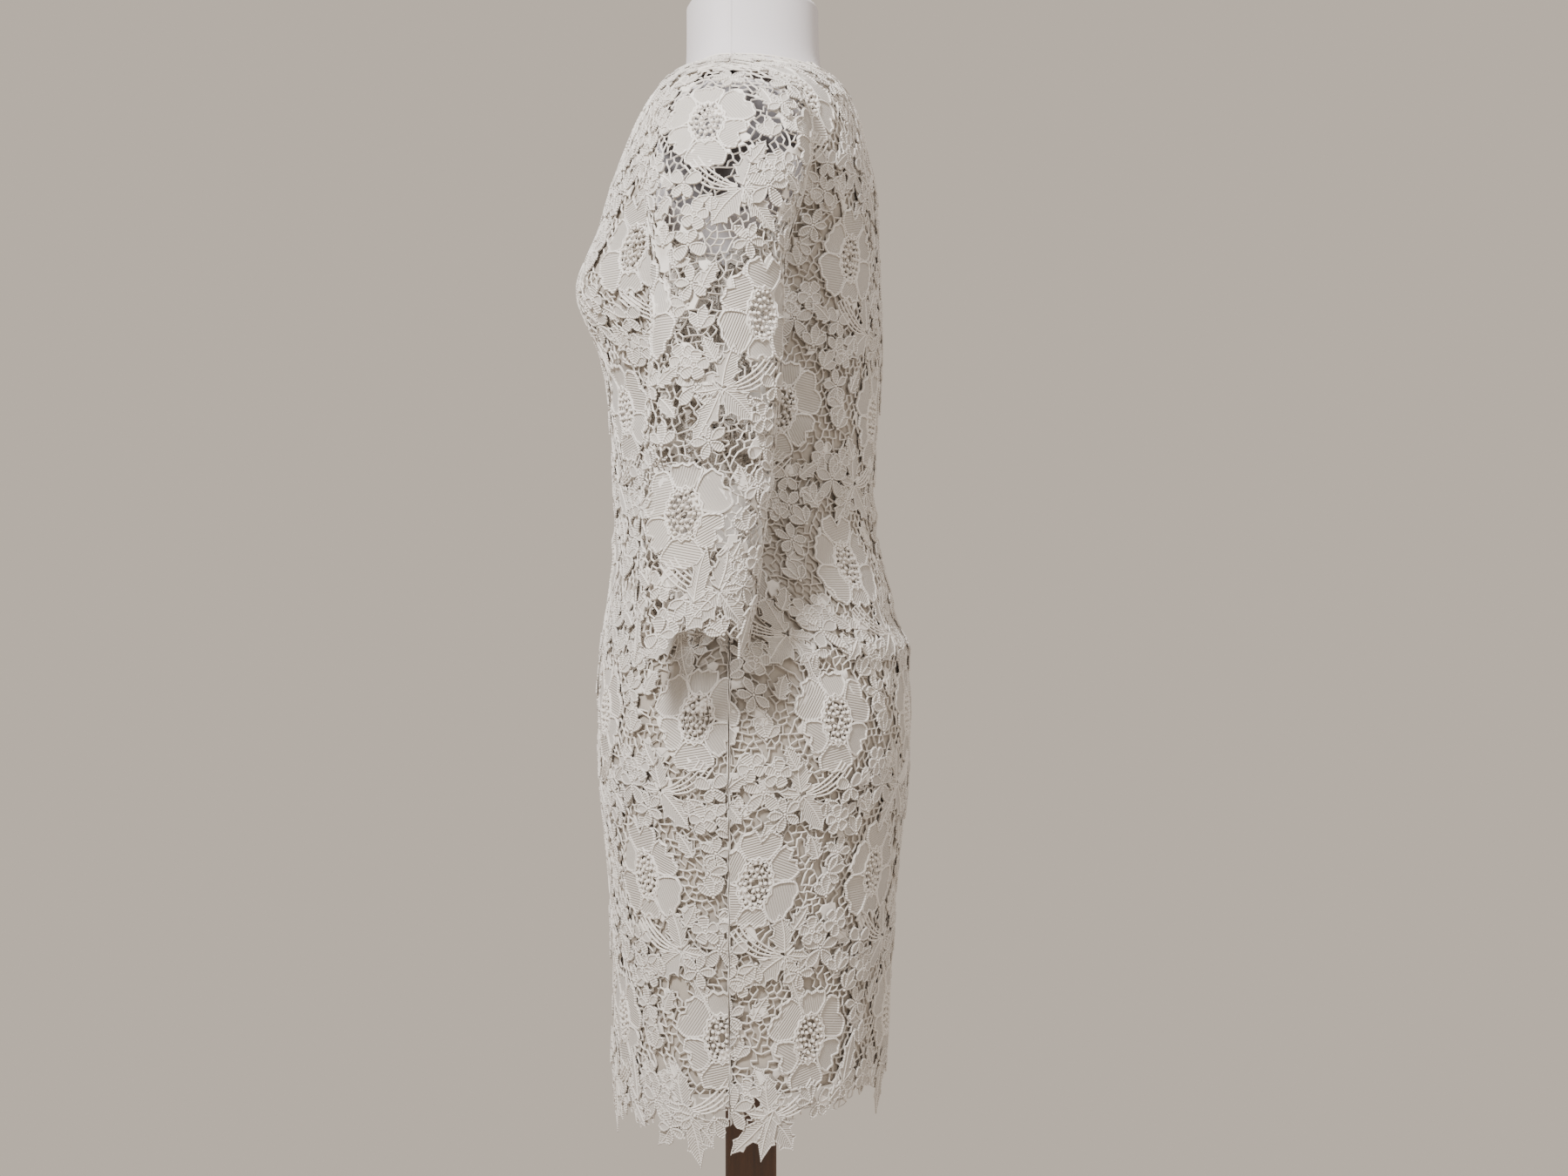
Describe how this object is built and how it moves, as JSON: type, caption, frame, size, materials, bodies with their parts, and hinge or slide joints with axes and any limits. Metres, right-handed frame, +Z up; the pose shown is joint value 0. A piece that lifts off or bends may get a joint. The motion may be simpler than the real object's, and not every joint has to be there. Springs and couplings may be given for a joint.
{
  "type": "lace dress on a limbless dress form with a wooden post",
  "caption": "Knee-length lace sheath dress with three-quarter sleeves, lined body and pointed hem, standing on a limbless dress form with post and round foot.",
  "frame": {"origin": "centre of the base's underside, on the post's axis, on the surface it stands on", "axes": "+Z up, -Y the way the dress faces, +X towards the wearer's left"},
  "size_m": [0.4982, 0.38, 1.48],
  "materials": {
    "lace": "off-white heavy chemical lace, satin-stitched motifs with raised cord edges, matte with a soft sheen",
    "lining": "smooth cream woven lining, soft satin",
    "form_cover": "smooth pale grey-lilac stretch jersey, matte",
    "wood": "stained brown wood, satin varnish"
  },
  "bodies": {
    "root": {"lace_front": "lace", "lace_back": "lace", "sleeve_left_front": "lace", "sleeve_left_back": "lace", "sleeve_right_front": "lace", "sleeve_right_back": "lace", "lining_front": "lining", "lining_back": "lining", "dress_form": "form_cover", "post": "wood", "base": "wood"}
  },
  "joints": []
}
